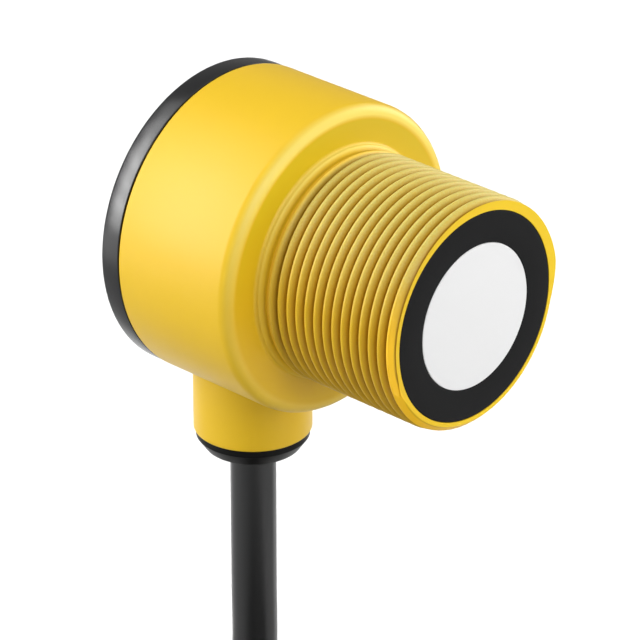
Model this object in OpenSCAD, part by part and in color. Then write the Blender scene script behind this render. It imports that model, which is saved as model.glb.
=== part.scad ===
// Ultrasonic proximity sensor: threaded barrel, round body, cable boss underneath, rear cover with keys.
// The barrel's axis is Y. The sensing face lies at y = 0, +Y runs back to the rear cover, +Z is up.
// All sizes are in millimetres. "back" is a place further along +Y, "reach" a distance below the axis.

/* [Barrel] */
// Thread diameter over its crests
thread_d = 30; // [29.5:0.5:33]
// Thread pitch
thread_pitch = 1.5; // [1:0.25:2]
// Length of the threaded stretch, from the sensing face
thread_l = 21; // [19:0.5:26]
// Plain land between the sensing face and the first groove
face_land = 0.3; // [0.2:0.1:1]
// Width of the relief groove behind the thread
relief_w = 0.5; // [0.3:0.1:1]
// Depth of the relief groove
relief_depth = 0.3; // [0.2:0.1:0.6]
// Width of the collar between the relief groove and the shoulder
collar_w = 1; // [0.5:0.25:3]
// How far the collar stands out over the thread crests
collar_proud = 0.2; // [0.2:0.05:0.5]

/* [Body] */
// Outside diameter of the body
body_d = 40.5; // [39:0.5:46]
// Length of the body, from the shoulder to the cover seam
body_l = 18.6; // [17.6:0.2:24]
// Radius of the rounded front edge
shoulder_round = 1.5; // [0.5:0.25:2]
// Wall thickness around the body
body_wall = 2.1; // [1.6:0.1:2.5]
// Wall thickness of the shoulder
front_wall = 2.5; // [2:0.25:4]
// Width of the inner ledge that the main board sits on
ledge_w = 1.5; // [1:0.1:2.5]
// Height of that ledge over the inside of the shoulder
ledge_h = 3; // [2:0.25:4]

/* [Cable boss] */
// Diameter of the cable boss
boss_d = 15.4; // [14.6:0.2:17]
// Length of the boss below the body
boss_l = 8.35; // [7.6:0.25:12]
// Distance from the cover seam forward to the middle of the boss
boss_back = 3.1; // [2.7:0.1:4]
// Rounding of the boss's lower edge
boss_edge = 0.3; // [0.1:0.1:0.6]
// Diameter of the bore that takes the gland
gland_bore_d = 10.4; // [9.8:0.2:11.4]
// Material left between that bore and the body's round side
bore_cover = 1.25; // [1:0.25:2]
// Diameter of the way through which the wires enter the body
wire_way_d = 4.8; // [4.4:0.1:5.2]

/* [Gland and cable] */
// Cable diameter
cable_d = 6; // [5:0.25:6.5]
// How much smaller the gland's radius is than the boss's
gland_inset = 0.3; // [0.1:0.1:0.8]
// Height of the gland's straight rim
gland_rim = 1.1; // [0.8:0.1:2]
// Height of the rounded nose under the rim
gland_nose = 1.5; // [1:0.1:3]
// How far the nose draws in
gland_nose_in = 0.8; // [0.4:0.1:1.5]
// Thickness of the rubber seal ring over the gland
seal_t = 2; // [1.5:0.25:2.5]
// Length of the ferrule that clamps the cable's jacket
ferrule_l = 3; // [2:0.25:3.5]
// Wall thickness of the ferrule
ferrule_wall = 0.9; // [0.6:0.1:1.1]
// Diameter of one insulated wire
wire_d = 1.1; // [0.9:0.1:1.2]

/* [Transducer] */
// Outside diameter of the black ring in the mouth of the barrel
ring_d = 27; // [26:0.25:27.25]
// Thickness of that ring
ring_t = 3; // [2:0.25:4]
// Outside diameter of the cup behind the ring
cup_d = 24.4; // [23.6:0.2:25]
// Length of the ring and cup together
cup_l = 13; // [12.2:0.2:14]
// Diameter of the white matching layer
disc_d = 18.8; // [17.6:0.2:20]
// Thickness of the matching layer
disc_t = 2.7; // [2:0.1:3.5]
// Diameter of the piezo disc
piezo_d = 17; // [14:0.5:17.5]
// Thickness of the piezo disc
piezo_t = 2; // [1:0.25:3]
// Thickness of the damping block
damping_t = 6; // [4:0.5:6.5]
// Thickness of the cap that closes the cup
cup_cap_t = 1.3; // [1:0.1:1.6]
// Diameter of a transducer lead
lead_d = 0.7; // [0.5:0.1:0.9]
// Distance between the two leads
lead_apart = 9; // [6:0.5:12]

/* [Boards] */
// Thickness of every circuit board
board_t = 1.6; // [1:0.2:2]
// Width of the rib inside the barrel that the driver board sits on
rib_w = 1; // [0.7:0.1:1.5]
// Thickness of that rib along the barrel
rib_t = 2.8; // [2:0.2:3.6]
// Width of the transformer core
core_w = 10; // [9:0.5:12]
// Height of the transformer core along the barrel
core_l = 6.6; // [5:0.2:7]
// Depth of the transformer core
core_t = 5; // [4:0.5:6]
// Distance between the pins of both board links
pin_apart = 2; // [1.5:0.25:2.5]
// Pins on the link from the driver board to the main board
barrel_pins = 5; // [3:1:6]
// Pins on the link from the main board to the display board
rear_pins = 8; // [4:1:8]
// Gap between the wires and the straight cut across the display board
wire_gap = 0.95; // [0.4:0.05:1.2]
// Distance from the lower screws' axes to that straight cut
screw_margin = 1.45; // [1.2:0.05:1.8]

/* [Rear cover] */
// Open seam between the body and the cover
seam_gap = 0.15; // [0.1:0.05:0.3]
// How much smaller the cover's radius is than the body's
cover_inset = 0.05; // [0:0.05:0.3]
// Length of the cover's round side
cover_rim_l = 3.15; // [2.8:0.05:5]
// Rounding of the cover's rear edge
cover_edge = 0.45; // [0.2:0.05:0.8]
// Thickness of the cover plate
cover_t = 1.8; // [1.4:0.1:2]
// Height of the raised key pad on the cover
pad_h = 0.6; // [0.3:0.1:1]
// Distance from the cover's side in to the key pad's edge
pad_inset = 4.2; // [3:0.2:5]
// Length of the spigot that centres the cover in the body
spigot_l = 3; // [2:0.25:4]
// Wall thickness of the spigot
spigot_wall = 1.2; // [0.9:0.1:1.5]
// Width of the flat gasket
gasket_w = 0.9; // [0.6:0.1:1]
// Thickness of the flat gasket
gasket_t = 0.75; // [0.6:0.05:1]
// Diameter of the posts that carry the display board
post_d = 3.2; // [2.8:0.2:4]
// Length of screw thread in a post
screw_grip = 4; // [3:0.25:4.5]

/* [Push buttons] */
// Diameter of a button
button_d = 5.5; // [4.5:0.25:6.5]
// How far a button stands out of the key pad
button_proud = 0.7; // [0.6:0.1:1.2]
// Travel of a button
button_travel = 0.5; // [0.3:0.1:0.6]
// Distance between the two buttons
button_apart = 11; // [9.5:0.5:12]
// Height of the buttons below the axis
button_drop = 4; // [3:0.5:5]
// Clearance around a button in the cover
button_gap = 0.1; // [0.05:0.05:0.2]
// Width of the flange that keeps a button in
flange_w = 0.9; // [0.6:0.1:1.1]
// Thickness of that flange, and of the flange on a light pipe
flange_t = 1; // [0.8:0.1:1.2]
// Side of a key switch
switch_w = 6; // [5:0.5:6.5]
// Height of a key switch without its plunger
switch_h = 3.4; // [3:0.1:3.8]
// Diameter of a switch plunger
plunger_d = 3.4; // [2.8:0.2:4]
// How far the plunger stands out of its switch
plunger_out = 0.9; // [0.8:0.05:1.2]

/* [Status lights] */
// Diameter of a light pipe
lens_d = 2.4; // [2:0.2:3]
// Distance between light pipes
lens_apart = 5; // [4.6:0.2:5.4]
// Height of the light pipes above the axis
lens_rise = 5; // [4:0.25:6]
// Number of status lights
lens_count = 4; // [2:1:4]
// Height of a light-emitting diode
led_h = 1; // [0.6:0.1:1.4]
// Width of a light-emitting diode
led_w = 2; // [1.6:0.1:2.2]
// Depth of a light-emitting diode
led_t = 1.3; // [1:0.1:2]

/* [Cable coil] */
// Radius at the middle of the coil's turns
coil_r = 35; // [32:1:38]
// Turns beside each other, and on each other
coil_rows = 3; // [2:1:4]
// Width of the cable tie
tie_w = 3.6; // [2.5:0.1:5]
// Thickness of the cable tie's band
tie_t = 1.1; // [0.8:0.1:1.6]
// How far the free wires reach out of the cable's end
free_wire_l = 20; // [16:1:21]

/* [Hidden] */
$fn = 96;

// Clearances and small repeated sizes
fit = 0.05;
play = 0.2;
eps = 0.01;
arc_steps = 8;

// Radii of the barrel, from the metric thread form
thread_r = thread_d / 2;
thread_depth = 0.613 * thread_pitch;
crest_w = thread_pitch / 8;
flank_w = thread_depth * tan(30);
root_r = thread_r - thread_depth;
collar_r = thread_r + collar_proud;
grooves = floor((thread_l - face_land) / thread_pitch);
bore_r = cup_d / 2 + fit;
mouth_r = ring_d / 2 + fit;
rib_r = bore_r - rib_w;

// Places along the axis, from the sensing face to the back
shoulder_y = thread_l + relief_w + collar_w;
cavity_y = shoulder_y + front_wall;
seam_y = shoulder_y + body_l;
cover_y = seam_y + seam_gap;
rim_y = cover_y + cover_rim_l;
pad_y = rim_y + pad_h;
plate_y = rim_y - cover_t;
piezo_y = disc_t;
damping_y = piezo_y + piezo_t;
cup_cap_y = damping_y + damping_t;
rib_y = cup_l + play;
driver_y = rib_y + rib_t;
driver_back = driver_y + board_t;
main_y = cavity_y + ledge_h;
main_back = main_y + board_t;
display_back = plate_y - flange_t - plunger_out - switch_h;
display_y = display_back - board_t;
flange_y = plate_y - flange_t;

// Radii of the body, the boss and the cover
body_r = body_d / 2;
cavity_r = body_r - body_wall;
ledge_r = cavity_r - ledge_w;
cover_r = body_r - cover_inset;
pad_r = cover_r - pad_inset;
spigot_r = cavity_r - fit;
spigot_in_r = spigot_r - spigot_wall;
gasket_r = cavity_r + (body_wall - cover_inset) / 2;
boss_r = boss_d / 2;
boss_y = seam_y - boss_back;
boss_reach = body_r + boss_l;
bore_top = body_r + bore_cover;
gland_r = boss_r - gland_inset;
gland_reach = boss_reach + gland_rim + gland_nose;
plug_r = gland_bore_d / 2 - fit;
cable_r = cable_d / 2;
cable_hole_r = cable_r + fit;
ferrule_r = cable_hole_r + ferrule_wall;

// Rear electronics
post_circle = spigot_in_r - post_d / 2 - play;
screw_r = 0.95;
screw_head_r = 1.8;
screw_head_h = 1.3;
display_r = spigot_in_r - play;
button_r = button_d / 2;
lens_r = lens_d / 2;
lens_x = [for (k = [0:lens_count - 1]) (k - (lens_count - 1) / 2) * lens_apart];
pin_r = 0.32;
link_t = 2.4;
barrel_link_z = -8;
rear_link_z = 9.5;
core_z = 2.5;
parts_x = 8;
chip_z = 2;
can_z = -5;
plunger_foot = 1.2;
plunger_hole = plunger_foot + button_travel + play;

// Five wires lie in a ring inside the wire way, then turn forward to the main board
wire_r = wire_d / 2;
wire_ring_r = wire_way_d / 2 - wire_r - play;
wire_bend_r = 3;
wire_turn_z = -(cavity_r - wire_bend_r);
wire_turn_steps = 4;
display_cut = -(wire_turn_z + wire_bend_r + wire_ring_r + wire_r + wire_gap);

// One post at the top, and two beside the straight cut that leaves room for the wires
post_dip = asin((display_cut - screw_margin) / post_circle);
post_angles = [90, 180 + post_dip, 360 - post_dip];

// The cable's route where it isn't coiled: down out of the gland, then round into the coil
cable_route = [
    [0, 38, -21.5], [0, 38, -31], [0, 38, -42], [0, 38, -52], [0, 38, -62], [-1, 38, -69],
    [-3.5, 38, -75], [-7.5, 38, -80.5], [-13, 38, -84.5], [-19.5, 38, -87], [-26, 38, -88]
];
cable_sides = 12;

// The coil lies on its tie, and the free wires come out of its inner side
coil_at = [-26, -3, -103];
coil_half = coil_rows * cable_r;
coil_inner_r = coil_r - coil_half;
coil_corner = 2.4;
tie_angle = 235;
tie_head = [5.2, 5.6, 4.2];
floor_z = coil_at[2] - tie_t - fit;
free_wire_r = 0.6;
free_wire_at = 304;
free_wire_bow = 8;
free_wire_steps = 6;
tip_r = 0.3;
tip_l = 4;

// Points of an arc, from angle a to angle b
function arc(x, y, r, a, b, steps = arc_steps) =
    [for (k = [0:steps]) [x + r * cos(a + (b - a) * k / steps), y + r * sin(a + (b - a) * k / steps)]];
// Outline of a rounded rectangle centred on the origin
function rounded(w, h, r) = concat(
    arc(w / 2 - r, h / 2 - r, r, 0, 90), arc(r - w / 2, h / 2 - r, r, 90, 180),
    arc(r - w / 2, r - h / 2, r, 180, 270), arc(w / 2 - r, r - h / 2, r, 270, 360)
);
function unit(v) = v / norm(v);
// Direction of a route at point i
function heading(route, i) =
    unit(route[min(i + 1, len(route) - 1)] - route[max(i - 1, 0)]);
// One ring of a tube around point i, with side as the first direction across the tube
function ring(route, i, side, r, n) =
    let (over = cross(side, heading(route, i)))
    [for (k = [0:n - 1]) route[i] + r * (cos(360 * k / n) * side + sin(360 * k / n) * over)];
// A point on a smooth three-point curve
function bend(a, b, c, t) = (1 - t) * (1 - t) * a + 2 * t * (1 - t) * b + t * t * c;
function polar(r, angle, z) = [r * cos(angle), r * sin(angle), z];

// Turn a shape drawn along Z so that it runs back along Y
module along_y(y = 0) {
    translate([0, y, 0]) rotate([-90, 0, 0]) children();
}

// A solid of revolution around the barrel's axis, from a profile of [radius, y]
module turned(profile) {
    along_y() rotate_extrude() polygon(profile);
}

// A round bar along Y, centred on x and z
module bar_y(x, z, r, y0, y1) {
    translate([x, 0, z]) along_y(y0) cylinder(r = r, h = y1 - y0);
}

// A block centred on x and z that runs from y0 to y1
module block_y(x, z, w, h, y0, y1) {
    translate([x - w / 2, y0, z - h / 2]) cube([w, y1 - y0, h]);
}

// A tube swept along a route, as one closed polyhedron
module tube(route, side, r, n) {
    rings = [for (i = [0:len(route) - 1]) ring(route, i, side, r, n)];
    last = len(route) - 1;
    sides = [
        for (i = [0:last - 1])
            for (k = [0:n - 1])
                [i * n + k, i * n + (k + 1) % n, (i + 1) * n + (k + 1) % n, (i + 1) * n + k]
    ];
    caps = [[for (k = [n - 1:-1:0]) k], [for (k = [0:n - 1]) last * n + k]];
    polyhedron(points = [for (a = rings) each a], faces = concat(sides, caps), convexity = 4);
}

// Outside of barrel and body, with one groove of the thread for each pitch
module housing_outside() {
    groove_points = [
        for (k = [0:grooves - 1])
            let (y = face_land + k * thread_pitch, end = y + thread_pitch - crest_w)
            each [[thread_r, y], [root_r, y + flank_w], [root_r, end - flank_w], [thread_r, end]]
    ];
    turned(concat(
        [[0, 0], [thread_r, 0]],
        groove_points,
        [
            [thread_r, thread_l], [thread_r - relief_depth, thread_l],
            [thread_r - relief_depth, thread_l + relief_w], [collar_r, thread_l + relief_w],
            [collar_r, shoulder_y]
        ],
        arc(body_r - shoulder_round, shoulder_y + shoulder_round, shoulder_round, -90, 0),
        [[body_r, seam_y], [0, seam_y]]
    ));
}

// Everything that is hollow around the barrel's axis
module housing_inside() {
    turned([
        [0, -1], [mouth_r, -1], [mouth_r, ring_t], [bore_r, ring_t], [bore_r, rib_y], [rib_r, rib_y],
        [rib_r, driver_y], [bore_r, driver_y], [bore_r, cavity_y], [ledge_r, cavity_y],
        [ledge_r, main_y], [cavity_r, main_y], [cavity_r, seam_y + 1], [0, seam_y + 1]
    ]);
}

// The boss stands on end: its profile is [radius, height below the axis]
module boss_outside() {
    translate([0, boss_y, 0]) rotate([180, 0, 0]) rotate_extrude() polygon(concat(
        [[0, 0], [boss_r, 0]],
        arc(boss_r - boss_edge, boss_reach - boss_edge, boss_edge, 0, 90),
        [[0, boss_reach]]
    ));
}

module housing() {
    color("gold") difference() {
        union() {
            housing_outside();
            difference() {
                boss_outside();
                bar_y(0, 0, cover_r + seam_gap, seam_y, seam_y + boss_d);
            }
        }
        housing_inside();
        translate([0, boss_y, -boss_reach - 1]) cylinder(d = gland_bore_d, h = 1 + boss_reach - bore_top);
        translate([0, boss_y, -bore_top - 1]) cylinder(d = wire_way_d, h = 1 + bore_top - cavity_r / 2);
    }
}

// The black ring and the cup behind it are one moulding
module transducer_cup() {
    edge = 0.15;
    cup_in_r = disc_d / 2 + fit;
    color("dimgray") turned([
        [cup_in_r, 0], [ring_d / 2 - edge, 0], [ring_d / 2, edge], [ring_d / 2, ring_t],
        [cup_d / 2, ring_t], [cup_d / 2, cup_l], [cup_in_r, cup_l]
    ]);
}

module matching_layer() {
    color("white") bar_y(0, 0, disc_d / 2, 0, disc_t);
}

module piezo_disc() {
    color("khaki") bar_y(0, 0, piezo_d / 2, piezo_y, damping_y);
}

// The two leads, or with some room the holes for them
module lead_pair(y0, y1, room = 0) {
    for (side = [-1, 1]) bar_y(side * lead_apart / 2, 0, lead_d / 2 + room, y0, y1);
}

module damping_block() {
    color("darkslategray") difference() {
        bar_y(0, 0, disc_d / 2, damping_y, cup_cap_y);
        lead_pair(damping_y - 1, cup_cap_y + 1, 2 * fit);
    }
}

module cup_cap() {
    color("saddlebrown") difference() {
        bar_y(0, 0, disc_d / 2, cup_cap_y, cup_cap_y + cup_cap_t);
        lead_pair(cup_cap_y - 1, cup_cap_y + cup_cap_t + 1, 2 * fit);
    }
}

module transducer_leads() {
    color("firebrick") lead_pair(damping_y, driver_y);
}

module driver_board() {
    color("seagreen") bar_y(0, 0, bore_r - fit, driver_y, driver_back);
}

// Two E halves as one core: three legs along the barrel, joined at both ends
module transformer_core() {
    leg_w = core_w * 0.3;
    side_w = core_w * 0.15;
    window_w = (core_w - leg_w) / 2 - side_w;
    color("dimgray") difference() {
        block_y(0, core_z, core_w, core_t, driver_back, driver_back + core_l);
        for (side = [-1, 1])
            block_y(
                side * (leg_w + window_w) / 2, core_z, window_w, core_t + 2,
                driver_back + side_w, driver_back + core_l - side_w
            );
    }
}

module transformer_winding() {
    leg_w = core_w * 0.3;
    side_w = core_w * 0.15;
    wound = core_w - 2 * side_w - 2 * fit;
    y0 = driver_back + side_w + fit;
    y1 = driver_back + core_l - side_w - fit;
    color("chocolate") difference() {
        block_y(0, core_z, wound, core_t + wound - leg_w, y0, y1);
        block_y(0, core_z, leg_w + 2 * fit, core_t + 2 * fit, y0 - 1, y1 + 1);
    }
}

// A row of pins between two boards, with the plastic strip that holds them
module pin_link(pins, z, y0, y1) {
    middle = (y0 + y1) / 2;
    union() {
        block_y(0, z, pins * pin_apart, link_t, middle - link_t / 2, middle + link_t / 2);
        for (k = [0:pins - 1])
            bar_y((k - (pins - 1) / 2) * pin_apart, z, pin_r, y0, y1);
    }
}

module barrel_link() {
    color("black") pin_link(barrel_pins, barrel_link_z, driver_back, main_y);
}

module rear_link() {
    color("black") pin_link(rear_pins, rear_link_z, main_back, display_y);
}

module main_board() {
    color("seagreen") bar_y(0, 0, cavity_r - fit, main_y, main_back);
}

module controller_chip() {
    w = 7;
    t = 1.2;
    color("black") block_y(0, chip_z, w, w, main_back, main_back + t);
}

module signal_chips() {
    w = 4;
    h = 5;
    t = 1.5;
    color("black") for (side = [-1, 1])
        block_y(side * parts_x, chip_z, w, h, main_back, main_back + t);
}

module capacitors() {
    can_r = 2.2;
    can_h = 4.4;
    color("silver") for (side = [-1, 1])
        bar_y(side * parts_x, can_z, can_r, main_back, main_back + can_h);
}

// Up out of the cable, round a quarter turn and forward to the main board
module inner_wire(dx, dy) {
    turn = arc(boss_y + dy - wire_bend_r, wire_turn_z + dy, wire_bend_r, 0, 90, wire_turn_steps);
    route = concat(
        [[dx, boss_y + dy, -bore_top]],
        [for (p = turn) [dx, p[0], p[1]]],
        [[dx, main_back, wire_turn_z + dy + wire_bend_r]]
    );
    tube(route, [1, 0, 0], wire_r, 8);
}

module inner_wires() {
    color("peru") for (k = [0:4])
        inner_wire(wire_ring_r * cos(90 + 72 * k), wire_ring_r * sin(90 + 72 * k));
}

// Places of the posts and of the screws in them
module at_posts() {
    for (a = post_angles)
        translate([post_circle * cos(a), 0, post_circle * sin(a)]) children();
}

module display_board() {
    color("seagreen") difference() {
        bar_y(0, 0, display_r, display_y, display_back);
        block_y(0, -display_cut - display_r, 2 * body_d, 2 * display_r, display_y - 1, display_back + 1);
        at_posts() bar_y(0, 0, screw_r + 2 * fit, display_y - 1, display_back + 1);
    }
}

module board_screws() {
    color("silver") at_posts() {
        bar_y(0, 0, screw_head_r, display_y - screw_head_h, display_y);
        bar_y(0, 0, screw_r, display_y - eps, display_back + screw_grip);
    }
}

module status_leds() {
    color("lightyellow") for (x = lens_x)
        block_y(x, lens_rise, led_w, led_t, display_back, display_back + led_h);
}

// Clear pins that carry the light out through the cover
module light_pipes() {
    color("lightcyan") for (x = lens_x) {
        bar_y(x, lens_rise, lens_r, display_back + led_h + play, pad_y);
        bar_y(x, lens_rise, lens_r + 0.55, flange_y, plate_y);
    }
}

module key_switch(side) {
    color("black") difference() {
        block_y(
            side * button_apart / 2, -button_drop, switch_w, switch_w,
            display_back, display_back + switch_h
        );
        bar_y(
            side * button_apart / 2, -button_drop, plunger_d / 2 + 2 * fit,
            display_back + switch_h - plunger_hole, display_back + switch_h + 1
        );
    }
}

module plunger(side) {
    color("snow") bar_y(
        side * button_apart / 2, -button_drop, plunger_d / 2,
        display_back + switch_h - plunger_foot, flange_y
    );
}

module button(side) {
    soft = 0.35;
    dome = 0.15;
    top = pad_y + button_proud;
    color("darkslategray") translate([side * button_apart / 2, 0, -button_drop]) turned([
        [0, flange_y], [button_r + flange_w, flange_y], [button_r + flange_w, plate_y],
        [button_r, plate_y], [button_r, top - soft], [button_r - soft, top - dome], [0, top]
    ]);
}

module switch_left() { key_switch(-1); }
module switch_right() { key_switch(1); }
module plunger_left() { plunger(-1); }
module plunger_right() { plunger(1); }
module button_left() { button(-1); }
module button_right() { button(1); }

// Plate, round side and spigot of the cover, with its groove for the gasket
module cover_shell() {
    pad_edge = 0.3;
    turned(concat(
        [
            [0, plate_y], [spigot_in_r, plate_y], [spigot_in_r, cover_y - spigot_l],
            [spigot_r, cover_y - spigot_l], [spigot_r, cover_y],
            [gasket_r - gasket_w / 2, cover_y], [gasket_r - gasket_w / 2, seam_y + gasket_t],
            [gasket_r + gasket_w / 2, seam_y + gasket_t], [gasket_r + gasket_w / 2, cover_y],
            [cover_r, cover_y]
        ],
        arc(cover_r - cover_edge, rim_y - cover_edge, cover_edge, 0, 90),
        [[pad_r, rim_y], [pad_r - pad_edge, pad_y], [0, pad_y]]
    ));
}

module rear_cover() {
    color("black") difference() {
        union() {
            cover_shell();
            at_posts() bar_y(0, 0, post_d / 2, display_back, plate_y + eps);
        }
        at_posts() bar_y(0, 0, screw_r + fit, display_back - 1, display_back + screw_grip + play);
        for (side = [-1, 1])
            bar_y(side * button_apart / 2, -button_drop, button_r + button_gap, plate_y - 1, pad_y + 1);
        for (x = lens_x) bar_y(x, lens_rise, lens_r + fit, plate_y - 1, pad_y + 1);
        // the wires rise through the spigot here
        block_y(0, -cavity_r, wire_way_d + 2, cavity_r, seam_y - boss_d, plate_y);
    }
}

module cover_gasket() {
    inner = gasket_r - gasket_w / 2 + fit;
    outer = gasket_r + gasket_w / 2 - fit;
    top = seam_y + gasket_t;
    color("gray") turned([[inner, seam_y], [outer, seam_y], [outer, top], [inner, top]]);
}

// Stand a profile of [radius, height] on the boss's axis
module on_boss(profile) {
    translate([0, boss_y, 0]) rotate_extrude() polygon(profile);
}

module cable_gland() {
    plug_top = -(bore_top + seal_t);
    nose_r = gland_r - gland_nose_in;
    nose = [
        for (k = [0:arc_steps])
            [nose_r + gland_nose_in * cos(90 * k / arc_steps),
             -boss_reach - gland_rim - gland_nose * sin(90 * k / arc_steps)]
    ];
    color("black") on_boss(concat(
        [
            [cable_hole_r, -gland_reach], [cable_hole_r, plug_top - ferrule_l],
            [ferrule_r + fit, plug_top - ferrule_l], [ferrule_r + fit, plug_top], [plug_r, plug_top],
            [plug_r, -boss_reach], [gland_r, -boss_reach]
        ],
        nose
    ));
}

module gland_seal() {
    color("dimgray") on_boss([
        [cable_hole_r, -bore_top - seal_t], [plug_r, -bore_top - seal_t],
        [plug_r, -bore_top], [cable_hole_r, -bore_top]
    ]);
}

module cable_ferrule() {
    low = -(bore_top + seal_t + ferrule_l);
    color("goldenrod") on_boss([
        [cable_hole_r, low], [ferrule_r, low], [ferrule_r, low + ferrule_l], [cable_hole_r, low + ferrule_l]
    ]);
}

module cable() {
    color("black") tube(cable_route, [0, 1, 0], cable_r, cable_sides);
}

module cable_coil() {
    color("black") translate(coil_at) rotate_extrude() translate([coil_r, coil_half])
        polygon(rounded(2 * coil_half, 2 * coil_half, coil_corner));
}

// A band round the bundle with its head on the outer side, swept along the coil's own curve
module cable_tie() {
    turn = tie_w / coil_r * 180 / PI;
    gap = 2 * coil_half + 2 * fit;
    color("whitesmoke") translate(coil_at) rotate([0, 0, tie_angle]) union() {
        rotate([0, 0, -turn / 2]) rotate_extrude(angle = turn) translate([coil_r, coil_half]) difference() {
            polygon(rounded(gap + 2 * tie_t, gap + 2 * tie_t, coil_corner + tie_t));
            polygon(rounded(gap, gap, coil_corner));
        }
        translate([coil_r + coil_half + fit + tie_t / 2, -tie_head[1] / 2, coil_half - tie_head[2] / 2])
            cube(tie_head);
    }
}

// Centre line of free wire k, from the coil's inner side down to the surface that it lies on
function free_wire(k) =
    let (
        start = coil_at + polar(coil_inner_r + free_wire_r, free_wire_at + 5 * k, cable_r),
        down = [0, 0, floor_z + free_wire_r - start[2]],
        middle = start + polar(free_wire_bow, free_wire_at + 150, 0) + down,
        end = start + polar(free_wire_l, free_wire_at + 190 - 8 * k, 0) + down
    )
    [for (s = [0:free_wire_steps]) bend(start, middle, end, s / free_wire_steps)];

module free_wire_piece(k) {
    tube(free_wire(k), [0, 0, 1], free_wire_r, 8);
}

module wire_brown() { color("saddlebrown") free_wire_piece(0); }
module wire_blue() { color("royalblue") free_wire_piece(1); }
module wire_black() { color("black") free_wire_piece(2); }
module wire_white() { color("white") free_wire_piece(3); }
module wire_grey() { color("gray") free_wire_piece(4); }

// Tinned ends of the five wires
module wire_tips() {
    color("silver") for (k = [0:4]) {
        route = free_wire(k);
        end = route[free_wire_steps];
        tube([end, end + tip_l * heading(route, free_wire_steps)], [0, 0, 1], tip_r, 8);
    }
}

housing();
transducer_cup();
matching_layer();
piezo_disc();
damping_block();
cup_cap();
transducer_leads();
driver_board();
transformer_core();
transformer_winding();
barrel_link();
main_board();
controller_chip();
signal_chips();
capacitors();
inner_wires();
rear_link();
display_board();
board_screws();
status_leds();
light_pipes();
switch_left();
switch_right();
plunger_left();
plunger_right();
button_left();
button_right();
rear_cover();
cover_gasket();
cable_gland();
gland_seal();
cable_ferrule();
cable();
cable_coil();
cable_tie();
wire_brown();
wire_blue();
wire_black();
wire_white();
wire_grey();
wire_tips();
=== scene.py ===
# %% [markdown]
# # An ultrasonic proximity sensor, dressed for its picture
#
# The solids come packed, at their real size. The origin is the middle of the sensing face, the barrel's axis
# is Y, the cover is at the back, +Y, and the cable leaves downwards, -Z. Each step below takes one piece or
# one finish: what it is on the real sensor, how it could be made, and why this way was chosen.

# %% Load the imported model
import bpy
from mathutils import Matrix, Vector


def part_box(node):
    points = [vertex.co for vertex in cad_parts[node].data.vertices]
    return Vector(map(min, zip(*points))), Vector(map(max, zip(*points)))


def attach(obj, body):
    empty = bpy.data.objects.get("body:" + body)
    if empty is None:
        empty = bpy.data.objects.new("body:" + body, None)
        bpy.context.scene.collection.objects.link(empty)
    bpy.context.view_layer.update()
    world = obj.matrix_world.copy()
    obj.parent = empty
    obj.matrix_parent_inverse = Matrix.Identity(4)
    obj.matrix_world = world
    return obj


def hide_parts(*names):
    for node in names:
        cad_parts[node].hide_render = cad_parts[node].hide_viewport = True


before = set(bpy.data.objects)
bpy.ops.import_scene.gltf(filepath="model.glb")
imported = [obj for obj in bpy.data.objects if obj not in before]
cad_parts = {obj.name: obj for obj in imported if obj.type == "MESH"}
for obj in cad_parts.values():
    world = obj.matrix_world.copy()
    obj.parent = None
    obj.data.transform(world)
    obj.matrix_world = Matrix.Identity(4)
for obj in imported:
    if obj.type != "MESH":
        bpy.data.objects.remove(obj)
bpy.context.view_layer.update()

# %% Modules and units
import math

import bmesh
import bpy
from mathutils import Matrix, Vector

MM = 0.001
print("a millimetre is", MM, "of Blender's units")

# %% [markdown]
# ## The camera
#
# The picture looks down on the sensor from the front left. Its angles were found from the ellipses that the
# sensing face and the cover draw. A camera could stand close with a short lens, but then the barrel would
# bulge towards us. A long lens from half a metre keeps the ellipses as flat as they are in the picture.

# %% Camera
view_azimuth = math.radians(-46.2456)
view_elevation = math.radians(26.4285)
view_distance = 524.28 * MM
view_right = -18.793 * MM
view_up = -0.378 * MM
back = Vector((
    math.sin(view_azimuth) * math.cos(view_elevation),
    -math.cos(view_azimuth) * math.cos(view_elevation),
    math.sin(view_elevation),
))
right = Vector((math.cos(view_azimuth), math.sin(view_azimuth), 0))
up = back.cross(right)
camera = bpy.data.objects.new("camera", bpy.data.cameras.new("camera"))
camera.data.sensor_width = 36
camera.data.lens = 243.93
camera.data.clip_start = 0.01
camera.data.clip_end = 20
camera_place = back * view_distance + right * view_right + up * view_up
turned_to_view = Matrix((right, up, back)).transposed().to_4x4()
camera.matrix_world = Matrix.Translation(camera_place) @ turned_to_view
bpy.context.scene.collection.objects.link(camera)
bpy.context.scene.camera = camera
print("camera", [round(side / MM, 1) for side in camera_place], "mm, lens", camera.data.lens)
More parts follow.
